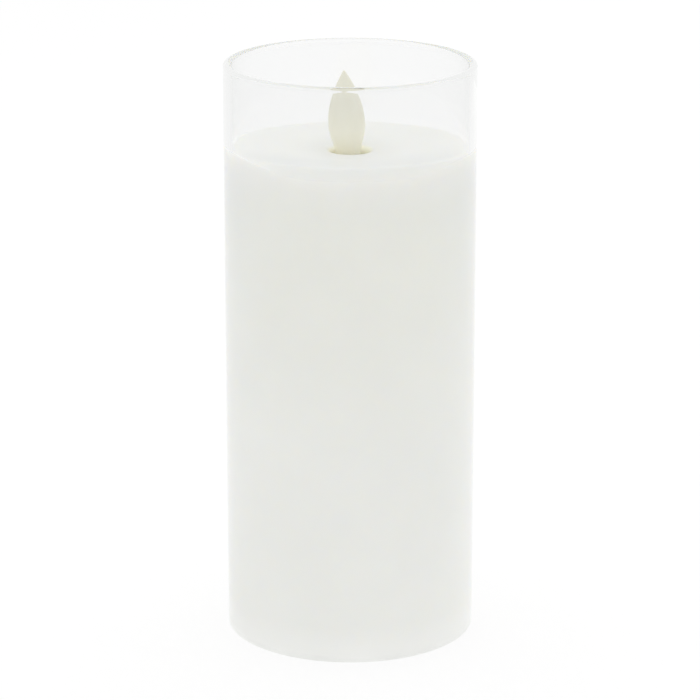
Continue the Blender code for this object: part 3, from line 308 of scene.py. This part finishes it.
class Nodes:
    """A material's node tree, with short calls to add and link nodes."""

    def __init__(self, name):
        self.material = bpy.data.materials.new(name)
        self.material.use_nodes = True
        self.tree = self.material.node_tree
        self.tree.nodes.clear()
        self.output = self.add("ShaderNodeOutputMaterial")
        self.place = self.add("ShaderNodeTexCoord").outputs["Object"]

    def add(self, kind, **settings):
        """A new node with these settings."""
        node = self.tree.nodes.new(kind)
        for key, value in settings.items():
            setattr(node, key, value)
        return node

    def link(self, source, target):
        """Links one socket to another."""
        self.tree.links.new(source, target)

    def feed(self, target, value):
        """Sets a socket to a value, or links another socket to it."""
        if isinstance(value, bpy.types.NodeSocket):
            self.link(value, target)
        else:
            target.default_value = value

    def principled(self, **values):
        """A principled shader. Its sockets are named in lower case, with underscores."""
        shader = self.add("ShaderNodeBsdfPrincipled")
        for key, value in values.items():
            self.feed(shader.inputs[key.replace("_", " ").title().replace("Ior", "IOR")], value)
        return shader

    def noise(self, scale, detail, roughness=0.5, stretch=None):
        """A noise pattern, which stretch may scale along each axis."""
        texture = self.add("ShaderNodeTexNoise")
        texture.inputs["Scale"].default_value = scale
        texture.inputs["Detail"].default_value = detail
        texture.inputs["Roughness"].default_value = roughness
        place = self.place
        if stretch:
            mapping = self.add("ShaderNodeMapping")
            mapping.inputs["Scale"].default_value = stretch
            self.link(place, mapping.inputs["Vector"])
            place = mapping.outputs["Vector"]
        self.link(place, texture.inputs["Vector"])
        return texture.outputs["Fac"]

    def spread(self, value, low, high, start=0.3, end=0.7):
        """Maps start and end to low and high. Without them, it maps a pattern's middle range."""
        node = self.add("ShaderNodeMapRange")
        node.inputs["From Min"].default_value = start
        node.inputs["From Max"].default_value = end
        node.inputs["To Min"].default_value = low
        node.inputs["To Max"].default_value = high
        self.link(value, node.inputs["Value"])
        return node.outputs["Result"]

    def math(self, operation, first, second=0.0):
        """One operation on one or two values."""
        node = self.add("ShaderNodeMath", operation=operation)
        self.feed(node.inputs[0], first)
        self.feed(node.inputs[1], second)
        return node.outputs["Value"]

    def largest(self, *values):
        """The largest of some values."""
        result = values[0]
        for value in values[1:]:
            result = self.math("MAXIMUM", result, value)
        return result

    def length(self, across, along):
        """The length of a flat vector with these two parts."""
        squares = [self.math("MULTIPLY", part, part) for part in (across, along)]
        return self.math("SQRT", self.math("ADD", *squares))

    def blend(self, factor, first, second):
        """The first colour where the factor is 0, and the second where it is 1."""
        node = self.add("ShaderNodeMix", data_type="RGBA")
        self.feed(node.inputs["Factor"], factor)
        self.feed(node.inputs[FIRST_COLOUR], (*first, 1) if isinstance(first, tuple) else first)
        self.feed(node.inputs[SECOND_COLOUR], (*second, 1) if isinstance(second, tuple) else second)
        return node.outputs[MIXED_COLOUR]

    def times(self, colour, factor):
        """A colour multiplied by another pattern."""
        node = self.add("ShaderNodeMix", data_type="RGBA", blend_type="MULTIPLY")
        node.inputs["Factor"].default_value = 1.0
        self.link(colour, node.inputs[FIRST_COLOUR])
        self.link(factor, node.inputs[SECOND_COLOUR])
        return node.outputs[MIXED_COLOUR]

    def parts(self, vector):
        """The X, Y and Z of a vector."""
        node = self.add("ShaderNodeSeparateXYZ")
        self.link(vector, node.inputs["Vector"])
        return node.outputs

    def height(self):
        """The height over the table."""
        return self.parts(self.place)["Z"]

    def bands(self, direction, pitch):
        """Straight bands across a direction, with their pitch in metres."""
        node = self.add("ShaderNodeTexWave", bands_direction=direction)
        node.inputs["Scale"].default_value = math.tau / (WAVE_FACTOR * pitch)
        self.link(self.place, node.inputs["Vector"])
        return node.outputs["Fac"]

    def tones(self, value, full, stops):
        """A ramp of colours along a value that runs from 0 to full, with its stops in millimetres."""
        node = self.add("ShaderNodeValToRGB")
        elements = node.color_ramp.elements
        while len(elements) < len(stops):
            elements.new(1.0)
        for element, (place, colour) in zip(elements, stops):
            element.position = place * MM / full
            element.color = (*colour, 1)
        self.link(self.spread(value, 0, 1, start=0, end=full), node.inputs["Fac"])
        return node.outputs["Color"]

    def bump(self, pattern, strength, distance):
        """A normal that follows a pattern."""
        node = self.add("ShaderNodeBump")
        node.inputs["Strength"].default_value = strength
        node.inputs["Distance"].default_value = distance
        self.link(pattern, node.inputs["Height"])
        return node.outputs["Normal"]

    def mix(self, factor, first, second):
        """The first shader where the factor is 0, and the second where it is 1."""
        node = self.add("ShaderNodeMixShader")
        self.link(factor, node.inputs["Fac"])
        self.link(first.outputs[0], node.inputs[1])
        self.link(second.outputs[0], node.inputs[2])
        return node

    def done(self, shader):
        """Shows a shader, and gives its material."""
        self.link(shader.outputs[0], self.output.inputs["Surface"])
        return self.material


def shade(colour, factor):
    """A colour made darker or lighter."""
    return tuple(min(1.0, c * factor) for c in colour)


def moulded(name, colour, roughness, spread=0.04, grain=900, metallic=0.0, subsurface=0.0):
    """Moulded or plated stuff: faint cloudiness, uneven gloss and a fine surface grain."""
    gloss_spread = 0.06
    n = Nodes(name)
    cloud = n.noise(scale=60, detail=4)
    fine = n.noise(scale=grain, detail=3)
    base = n.blend(n.spread(cloud, 0, 1), shade(colour, 1 - spread), shade(colour, 1 + spread))
    gloss = n.spread(fine, roughness - gloss_spread, roughness + gloss_spread)
    shader = n.principled(base_color=base, roughness=gloss, metallic=metallic,
                          normal=n.bump(fine, strength=0.08, distance=0.05 * MM),
                          subsurface_weight=subsurface, subsurface_radius=(1.0, 0.8, 0.5),
                          subsurface_scale=1.5 * MM)
    return n.done(shader)


def glass_material():
    """Clear soda glass, greyer at the rim, where one looks along it.

    Light on its way to the wax, or thrown back inside the wall, passes straight through. Thrown back,
    it comes out dimmed: painted shade on the glass's edges.
    """
    clear_tint = (0.957, 0.959, 0.958)
    rim_tint = (0.90, 0.905, 0.90)
    passing_tint = (0.97, 0.97, 0.97)
    thrown_shade_tint = (0.89, 0.895, 0.89)
    n = Nodes("clear_glass")
    ripple = n.noise(scale=14, detail=2, stretch=(1, 1, 0.25))
    rim = n.spread(n.height(), 0, 1, start=GLASS_TOP - GLASS_RIM_TINT_REACH, end=GLASS_TOP)
    clear = n.principled(base_color=n.blend(rim, clear_tint, rim_tint), roughness=0.0, ior=1.5,
                         transmission_weight=1.0,
                         normal=n.bump(ripple, strength=0.02, distance=1.0 * MM))
    path = n.add("ShaderNodeLightPath").outputs
    thrown_back = n.math("SUBTRACT", path["Is Glossy Ray"], path["Is Transmission Ray"])
    through = n.add("ShaderNodeBsdfTransparent")
    # Painted shade: light thrown back inside the wall passes through dimmed.
    n.link(n.blend(thrown_back, passing_tint, thrown_shade_tint), through.inputs["Color"])
    passes = n.largest(path["Is Shadow Ray"], path["Is Diffuse Ray"], thrown_back)
    return n.done(n.mix(passes, clear, through))


def wax_material():
    """Smooth paraffin: soft light inside, faint clouds, and pores that only catch a grazing light.

    It has painted shade round the hole, a painted shadow of the flame greying the front of its top, and
    painted warm light inside the hole; painted light makes its foot paler and painted shade its upper
    side darker.
    """
    flame_shadow_grey = (0.938, 0.944, 0.952)
    painted_warm_light = (0.985, 0.95, 0.72)
    n = Nodes("white_wax")
    cloud = n.noise(scale=28, detail=5, roughness=0.55)
    pores = n.noise(scale=1400, detail=2)
    swell = n.noise(scale=130, detail=3)
    place = n.parts(n.place)
    reach = n.length(place["X"], place["Y"])
    # Painted light and shade: the height tones make the foot paler and the upper side darker.
    base = n.times(n.tones(place["Z"], WAX_TONE_RANGE, WAX_TONES_AND_PAINTED_LIGHT), n.spread(cloud, 0.985, 1.015))
    # Painted shade: the wax is darker in a ring round the hole.
    base = n.times(base, n.spread(reach, 0.94, 1, start=HOLE_LIP, end=HOLE_SHADE_REACH * HOLE_LIP))
    # Painted shadow: the front of the wax top is greyer where the flame's shadow falls.
    shadow_in_front = n.math("MULTIPLY", n.spread(place["Y"], 0, 1, start=FLAME_SHADOW_START, end=FLAME_SHADOW_FULL),
                      n.spread(reach, 1, 0, start=WAX_CREST, end=WAX_CREST + FLAME_SHADOW_EDGE))
    shadow_on_top = n.spread(place["Z"], 0, 1, start=FLAME_SHADOW_BOTTOM, end=FLAME_SHADOW_TOP)
    base = n.times(base, n.blend(n.math("MULTIPLY", shadow_in_front, shadow_on_top), (1, 1, 1), flame_shadow_grey))
    # Painted light: the throat of the hole is painted light and warm.
    lit_throat_end = HOLE_RADIUS + LIT_THROAT_REACH * HOLE_EDGE
    base = n.blend(n.spread(reach, 1, 0, start=HOLE_RADIUS, end=lit_throat_end), base, painted_warm_light)
    relief = n.math("ADD", n.math("MULTIPLY", pores, 0.25), swell)
    depth = n.spread(place["Z"], 0, 0.7, start=OPAQUE_TOP, end=TRANSLUCENT_BOTTOM)
    shader = n.principled(base_color=base, roughness=n.spread(swell, 0.42, 0.56),
                          normal=n.bump(relief, strength=0.12, distance=0.12 * MM),
                          subsurface_weight=depth, subsurface_radius=(1.0, 0.9, 0.7),
                          subsurface_scale=3.0 * MM)
    return n.done(shader)


def flame_material():
    """Ivory flame of thin translucent plastic, lighter and warmer towards its foot with painted light
    that lifts the shade of the hole.
    """
    n = Nodes("ivory_flame")
    rise = n.spread(n.height(), 0, 1, start=FLAME_LIT_FOOT_HEIGHT, end=FLAME_PALE_HEIGHT)
    cloud = n.spread(n.noise(scale=220, detail=3), 0, 1)
    # Painted light: the flame is lighter and warmer towards its foot.
    painted_warm_light = n.blend(cloud, (0.965, 0.94, 0.78), (0.98, 0.955, 0.82))
    pale = n.blend(cloud, (0.745, 0.735, 0.625), (0.775, 0.765, 0.66))
    fine = n.noise(scale=2200, detail=2)
    shader = n.principled(base_color=n.blend(rise, painted_warm_light, pale), roughness=n.spread(fine, 0.40, 0.52),
                          normal=n.bump(fine, strength=0.08, distance=0.03 * MM),
                          subsurface_weight=0.1, subsurface_radius=(1.0, 0.9, 0.7),
                          subsurface_scale=0.8 * MM)
    return n.done(shader)


def jacketed(name, jacket, metal, nub=False):
    """A plain film on a can's side, and bare metal at its ends and on its nub."""
    n = Nodes(name)
    normal = n.add("ShaderNodeTexCoord").outputs["Normal"]
    bare = n.spread(n.math("ABSOLUTE", n.parts(normal)["Z"]), 0, 1, start=0.6, end=0.8)
    if nub:
        place = n.parts(n.place)
        across = n.math("SUBTRACT", n.math("ABSOLUTE", place["X"]), CELL_PLACE)
        reach = n.length(across, place["Y"])
        bare = n.largest(bare, n.spread(reach, 1, 0, start=NUB_RADIUS, end=NUB_RADIUS + 0.1 * MM))
    fine = n.noise(scale=1800, detail=3)
    cloud = n.spread(n.noise(scale=90, detail=3), 0, 1)
    film = n.blend(cloud, shade(jacket, 0.9), shade(jacket, 1.1))
    shader = n.principled(base_color=n.blend(bare, film, metal), metallic=bare,
                          roughness=n.spread(fine, 0.28, 0.42),
                          normal=n.bump(fine, strength=0.06, distance=0.03 * MM))
    return n.done(shader)


def diode_material():
    """Amber epoxy over tinned legs."""
    tin = (0.66, 0.65, 0.62)
    n = Nodes("amber_lens")
    legs = n.spread(n.height(), 1, 0, start=LED_LEG_TOP - 0.2 * MM, end=LED_LEG_TOP)
    fine = n.noise(scale=1500, detail=2)
    cloud = n.spread(n.noise(scale=300, detail=2), 0, 1)
    epoxy = n.blend(cloud, (0.82, 0.52, 0.14), (0.88, 0.58, 0.17))
    shader = n.principled(base_color=n.blend(legs, epoxy, tin), metallic=legs,
                          roughness=n.spread(fine, 0.08, 0.20),
                          normal=n.bump(fine, strength=0.04, distance=0.02 * MM))
    return n.done(shader)


def winding_material():
    """Turns of enamelled wire, laid side by side, with painted shade in the grooves between them."""
    # Painted shade: the grooves between the turns are darker.
    groove_shade = shade((0.62, 0.26, 0.12), 0.45)
    n = Nodes("enamelled_copper")
    turns = n.bands("Z", WINDING_PITCH)
    cloud = n.spread(n.noise(scale=200, detail=3), 0, 1)
    tone = n.blend(cloud, (0.56, 0.22, 0.10), (0.68, 0.30, 0.15))
    fine = n.noise(scale=2500, detail=2)
    shader = n.principled(base_color=n.blend(turns, groove_shade, tone), metallic=1.0,
                          roughness=n.spread(fine, 0.26, 0.38),
                          normal=n.bump(turns, strength=0.6, distance=0.1 * MM))
    return n.done(shader)


def board_material():
    """Green solder mask over copper tracks."""
    track_green = (0.09, 0.33, 0.14)
    n = Nodes("board_green")
    weave = n.math("MULTIPLY", n.bands("X", WEAVE_PITCH), n.bands("Y", WEAVE_PITCH))
    runs = [n.bands(direction, pitch) for direction, pitch in zip("XY", TRACK_PITCHES)]
    tracks = n.spread(n.largest(*runs), 0, 1, start=0.86, end=0.92)
    mask = n.blend(weave, (0.040, 0.18, 0.08), (0.052, 0.22, 0.10))
    fine = n.noise(scale=1200, detail=2)
    shader = n.principled(base_color=n.blend(tracks, mask, track_green),
                          roughness=n.spread(fine, 0.30, 0.42),
                          normal=n.bump(tracks, strength=0.3, distance=0.03 * MM))
    return n.done(shader)


glass = glass_material()
wax = wax_material()
flame_ivory = flame_material()
housing_ivory = moulded("ivory_plastic", (0.94, 0.89, 0.68), roughness=0.42, subsurface=0.3)
white_plastic = moulded("white_plastic", (0.82, 0.82, 0.79), roughness=0.42)
black_plastic = moulded("black_plastic", (0.03, 0.03, 0.03), roughness=0.45, spread=0.15)
silicone = moulded("silicone", (0.87, 0.875, 0.85), roughness=0.5)
steel = moulded("steel", (0.60, 0.60, 0.60), roughness=0.28, grain=2500, metallic=1.0)
nickel = moulded("nickel_plate", (0.66, 0.63, 0.57), roughness=0.26, grain=2500, metallic=1.0)
copper = winding_material()
cell_jacket = jacketed("cell_jacket", jacket=(0.10, 0.11, 0.13), metal=(0.64, 0.63, 0.60), nub=True)
capacitor_film = jacketed("capacitor_film", jacket=(0.03, 0.03, 0.05), metal=(0.70, 0.70, 0.70))
board_green = board_material()
amber_lens = diode_material()
red_insulation = moulded("red_insulation", (0.55, 0.04, 0.04), roughness=0.45, spread=0.1)
black_insulation = moulded("black_insulation", (0.03, 0.03, 0.03), roughness=0.45, spread=0.1)


# Glass, wax, bead, flame and springs

def rim_outline(side_top):
    """The fire-polished rim, from the bore over to the outside."""
    half = (GLASS_RADIUS - GLASS_BORE + RIM_BEAD) / 2
    points = []
    for across, up in arc((0, 0), 1, 180, 0, RIM_STEPS):
        across = math.copysign(abs(across) ** (2 / GLASS_RIM_POWER), across)
        up = abs(up) ** (2 / GLASS_RIM_POWER)
        points.append((GLASS_RADIUS - half + half * across, side_top + GLASS_RIM_HEIGHT * up))
    return points


def make_glass():
    """A tube that thickens to a bead inside its rim.

    A ring near each end of its walls keeps them straight where they are smooth-shaded.
    """
    edge = GLASS_FOOT_EDGE
    side_top = GLASS_TOP - GLASS_RIM_HEIGHT
    side_foot = GLASS_BOTTOM + edge
    bead_foot = side_top - RIM_BEAD_REACH
    profile = rim_outline(side_top)
    profile += [(GLASS_RADIUS, side_top - WALL_HOLD), (GLASS_RADIUS, side_foot + WALL_HOLD)]
    profile += arc((GLASS_RADIUS - edge, side_foot), edge, 0, -90, FOOT_EDGE_STEPS)
    profile += arc((GLASS_BORE + edge, side_foot), edge, 270, 180, FOOT_EDGE_STEPS)
    profile += [(GLASS_BORE, side_foot + WALL_HOLD), (GLASS_BORE, bead_foot - WALL_HOLD)]
    for i in range(BEAD_STEPS):
        share = i / BEAD_STEPS
        swell = RIM_BEAD * (1 - math.cos(math.pi * share)) / 2
        profile.append((GLASS_BORE - swell, bead_foot + RIM_BEAD_REACH * share))
    tube = lathe("glass_tube", profile, GLASS_ROUND, glass)
    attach(tube, "candle")
    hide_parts("glass_sleeve")


def dish_height(radius):
    """The height of the wax top's shallow dish."""
    return WAX_TOP - WAX_DISH * (1 - (radius / WAX_CREST) ** 2) ** 2


def ramp(value, start, end):
    """0 at start, 1 at end, and a smooth rise between them."""
    share = min(1.0, max(0.0, (value - start) / (end - start)))
    return share * share * (3 - 2 * share)


def poured(point):
    """Poured wax: a top that swells faintly, and a shoulder that fades out at both sides."""
    flat = Vector((point.x, point.y, 0))
    radius = flat.length
    height = point.z
    wander = FADE_WANDER * noise.noise(point * WANDER_SCALE)
    turn = abs(math.degrees(math.atan2(point.y, point.x))) + wander
    fullness = ramp(turn, *RIGHT_FADE) * ramp(turn, *LEFT_FADE)
    side_drop = RIGHT_DROP if turn < 90 else LEFT_DROP
    drop = side_drop + (WAX_SHOULDER - side_drop) * fullness
    width = SIDE_SHOULDER + (FULL_SHOULDER - SIDE_SHOULDER) * fullness
    if height > WAX_TOP - WAX_SHOULDER and radius > WAX_CREST:
        radius = WAX_RADIUS - width + (radius - WAX_CREST) * width / WAX_SHOULDER
        height = WAX_TOP - (WAX_TOP - height) * drop / WAX_SHOULDER
    elif height > WAX_UNDERSIDE and HOLE_LIP < radius <= WAX_CREST:
        stretch = (WAX_RADIUS - width - HOLE_LIP) / (WAX_CREST - HOLE_LIP)
        radius = HOLE_LIP + (radius - HOLE_LIP) * stretch
    elif radius > WAX_CREST:
        room = WAX_TOP - WAX_SHOULDER - WAX_BOTTOM
        height = WAX_BOTTOM + (height - WAX_BOTTOM) * (room + WAX_SHOULDER - drop) / room
    high = ramp(height, WAX_TOP - SWELL_REACH, WAX_TOP - WAX_SHOULDER)
    height += high * TOP_SWELL * noise.noise(point * SWELL_SCALE)
    place = flat.normalized() * radius
    return Vector((place.x, place.y, height))


def make_wax():
    """The hollow pillar: hole, dish, shoulder, side, foot and bore."""
    side_top = WAX_TOP - WAX_SHOULDER
    side_foot = WAX_BOTTOM + WAX_FOOT_EDGE
    dish_radii = [HOLE_LIP + (WAX_CREST - HOLE_LIP) * i / DISH_STEPS for i in range(1, DISH_STEPS)]
    profile = arc((HOLE_LIP, dish_height(HOLE_LIP) - HOLE_EDGE), HOLE_EDGE, 180, 90, HOLE_EDGE_STEPS)
    profile += [(r, dish_height(r)) for r in dish_radii]
    for i in range(SHOULDER_STEPS + 1):
        share = i / SHOULDER_STEPS
        drop = WAX_SHOULDER * share ** SHOULDER_POWER
        profile.append((WAX_CREST + WAX_SHOULDER * share, WAX_TOP - drop))
    profile += line((WAX_RADIUS, side_top), (WAX_RADIUS, side_foot), WAX_SIDE_STEPS)
    profile += arc((WAX_RADIUS - WAX_FOOT_EDGE, side_foot), WAX_FOOT_EDGE, 0, -90, SMALL_EDGE_STEPS)
    profile += [(WAX_BORE, WAX_BOTTOM), (WAX_BORE, WAX_UNDERSIDE), (HOLE_RADIUS, WAX_UNDERSIDE)]
    pillar = lathe("wax_pillar", profile, ROUND, wax, shape=poured)
    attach(pillar, "candle")
    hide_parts("wax_shell")


def make_bead():
    """The bead of silicone, pressed up against the wax's foot and the glass."""
    edge = GLASS_FOOT_EDGE
    inner_foot = BEAD_BOTTOM + BEAD_EDGE
    outer_edge = edge - (WAX_RADIUS - GLASS_BORE)
    profile = [(BEAD_INNER_RADIUS, WAX_BOTTOM), (BEAD_INNER_RADIUS, inner_foot)]
    profile += arc((BEAD_INNER_RADIUS + BEAD_EDGE, inner_foot), BEAD_EDGE, 180, 270, SMALL_EDGE_STEPS)
    profile += arc((GLASS_BORE + edge, GLASS_BOTTOM + edge), outer_edge, 270, 180, FOOT_EDGE_STEPS)
    profile.append((WAX_RADIUS, WAX_BOTTOM + WAX_FOOT_EDGE))
    bead = lathe("adhesive_ring", profile, ROUND, silicone)
    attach(bead, "candle")
    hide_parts("adhesive_bead")


def flame_outline():
    """Half outline of the flame over the hole's rim, from the tip down to the skirt."""
    half = FLAME_WIDTH / 2
    neck = FLAME_NECK_WIDTH / 2
    above = FLAME_HEIGHT - FLAME_BELLY
    tip_handle = (FLAME_TIP_FULLNESS * half, FLAME_HEIGHT - FLAME_TIP_PULL * above)
    upper_handle = (half, FLAME_BELLY + FLAME_UPPER_PULL * above)
    lower_handle = (half, FLAME_BELLY - FLAME_LOWER_PULL * FLAME_BELLY)
    neck_handle = (neck, FLAME_NECK_PULL * FLAME_BELLY)
    belly = (half, FLAME_BELLY)
    upper = bezier((FLAME_TIP_RADIUS, FLAME_HEIGHT), tip_handle, upper_handle, belly, FLAME_UPPER_STEPS)
    lower = bezier(belly, lower_handle, neck_handle, (neck, -FLAME_SKIRT), FLAME_LOWER_STEPS)
    return upper + lower[1:]


def make_flame():
    """The hollow flame, flattened front to back and leaning on its pivot."""
    outline = [(r, z + FLAME_BASE) for r, z in flame_outline()]
    tip = (0, outline[0][1] + FLAME_TIP_RADIUS / 2)
    inside = [(r - FLAME_WALL, z) for r, z in reversed(outline) if r > FLAME_HOLLOW_LIMIT]
    roof = (0, inside[-1][1] + inside[-1][0])
    place = Matrix.Translation((0, 0, PIVOT_HEIGHT)) @ Matrix.Rotation(-FLAME_LEAN, 4, "Y")
    place = place @ Matrix.Diagonal((1, FLAME_FLATNESS, 1, 1))
    shell = lathe("flame_shell", [tip] + outline + inside + [roof], FLAME_ROUND, flame_ivory,
                  closed=False, shape=lambda v: place @ v)
    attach(shell, "flame")
    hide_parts("flame_bulb")


def make_spring(name, node, body, wide_below):
    """A conical spring, wound fine, where its solid is. Its wire's ends are cut straight."""
    low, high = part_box(node)
    count = SPRING_TURNS * SPRING_POINTS
    middle = math.copysign(CELL_PLACE, low[0] + high[0])
    bottom = (low[2] + high[2] - SPRING_LENGTH) / 2
    verts = []
    for i in range(count + 1):
        share = i / count
        narrowing = share if wide_below else 1 - share
        radius = SPRING_WIDE_RADIUS + (SPRING_NARROW_RADIUS - SPRING_WIDE_RADIUS) * narrowing
        angle = math.tau * i / SPRING_POINTS
        outward = Vector((math.cos(angle), math.sin(angle), 0))
        height = bottom + SPRING_WIRE / 2 + (SPRING_LENGTH - SPRING_WIRE) * share
        centre = Vector((middle, 0, height)) + outward * radius
        for k in range(WIRE_ROUND):
            turn = math.tau * k / WIRE_ROUND
            across = outward * math.cos(turn) + Vector((0, 0, math.sin(turn)))
            verts.append(centre + across * SPRING_WIRE / 2)
    rings = [[i * WIRE_ROUND + k for k in range(WIRE_ROUND)] for i in range(count + 1)]
    faces = [rings[0][::-1], rings[-1]]
    for lower, upper in zip(rings, rings[1:]):
        for k in range(WIRE_ROUND):
            j = (k + 1) % WIRE_ROUND
            faces.append((lower[k], lower[j], upper[j], upper[k]))
    spring = new_piece(name, verts, faces, steel)
    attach(spring, body)
    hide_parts(node)


make_glass()
make_wax()
make_bead()
make_flame()
make_spring("door_coil", "spring_door", "door", wide_below=True)
make_spring("top_coil", "spring_top", "candle", wide_below=False)


# Solids that stay, with their materials

SCREWS = [f"{place}_screw_{number}" for place in ("base", "module") for number in (1, 2, 3, 4)]
SOLIDS_OF_MATERIAL = (
    (white_plastic, ("core_liner", "base_plate", "battery_door", "coil_bobbin")),
    (black_plastic, ("switch_slider", "controller_chip", "transistor")),
    (steel, ("switch_body", "pivot_wire", *SCREWS)),
    (nickel, ("contact_positive", "contact_negative", "contact_bridge", "flame_magnet")),
    (copper, ("coil_winding",)),
    (cell_jacket, ("battery_left", "battery_right")),
    (capacitor_film, ("capacitor",)),
    (board_green, ("control_board",)),
    (amber_lens, ("led_left", "led_right")),
    (red_insulation, ("wire_positive", "wire_switched")),
    (black_insulation, ("wire_negative",)),
    (housing_ivory, ("housing_front", "housing_rear")),
    (flame_ivory, ("flame_stem",)),
)
for solid_material, solid_names in SOLIDS_OF_MATERIAL:
    for solid_name in solid_names:
        slots = nodes[solid_name].data.materials
        slots.clear()
        slots.append(solid_material)


# Floor, world and lamps

def make_floor():
    """A pale floor that keeps the soft shadow, and throws no light or shadow back on the candle.

    It shows from above only, so that the foot can be seen.
    """
    n = Nodes("pale_floor")
    path = n.add("ShaderNodeLightPath").outputs
    seen = n.largest(path["Is Camera Ray"], path["Is Glossy Ray"], path["Is Transmission Ray"])
    matt = n.add("ShaderNodeBsdfDiffuse")
    matt.inputs["Color"].default_value = FLOOR_COLOUR
    glow = n.add("ShaderNodeEmission")
    n.link(n.math("MULTIPLY", seen, FLOOR_GLOW), glow.inputs["Strength"])
    both = n.add("ShaderNodeAddShader")
    n.link(matt.outputs[0], both.inputs[0])
    n.link(glow.outputs[0], both.inputs[1])
    below = n.add("ShaderNodeNewGeometry").outputs["Backfacing"]
    material = n.done(n.mix(below, both, n.add("ShaderNodeBsdfTransparent")))
    signs = ((-1, -1), (1, -1), (1, 1), (-1, 1))
    corners = [(x * FLOOR_REACH, y * FLOOR_REACH, FLOOR_HEIGHT) for x, y in signs]
    floor = new_piece("floor", corners, [(0, 1, 2, 3)], material)
    floor.visible_diffuse = False
    floor.visible_shadow = False


def make_world():
    """Plain white all round: soft light on the candle, and its background."""
    world = bpy.data.worlds.new("studio")
    scene.world = world
    world.use_nodes = True
    tree = world.node_tree
    tree.nodes.clear()
    white = tree.nodes.new("ShaderNodeBackground")
    white.inputs["Color"].default_value = WORLD_COLOUR
    white.inputs["Strength"].default_value = WORLD_STRENGTH
    output = tree.nodes.new("ShaderNodeOutputWorld")
    tree.links.new(white.outputs[0], output.inputs["Surface"])


def make_lamp(name, place, size, watts):
    """A softbox aimed at the candle, which leaves no glint on the glass."""
    data = bpy.data.lights.new(name, "AREA")
    data.size = size
    data.energy = watts
    lamp = bpy.data.objects.new(name, data)
    lamp.location = place
    lamp.visible_glossy = False
    aim = Vector(LAMP_TARGET) - Vector(place)
    lamp.rotation_euler = aim.to_track_quat("-Z", "Y").to_euler()
    scene.collection.objects.link(lamp)


make_floor()
make_world()
make_lamp("top_softbox", place=(-0.1, 0.15, 1.2), size=0.9, watts=1.6)
make_lamp("right_softbox", place=(0.85, 0.85, 0.2), size=0.7, watts=1.4)
scene.view_settings.view_transform = "Standard"
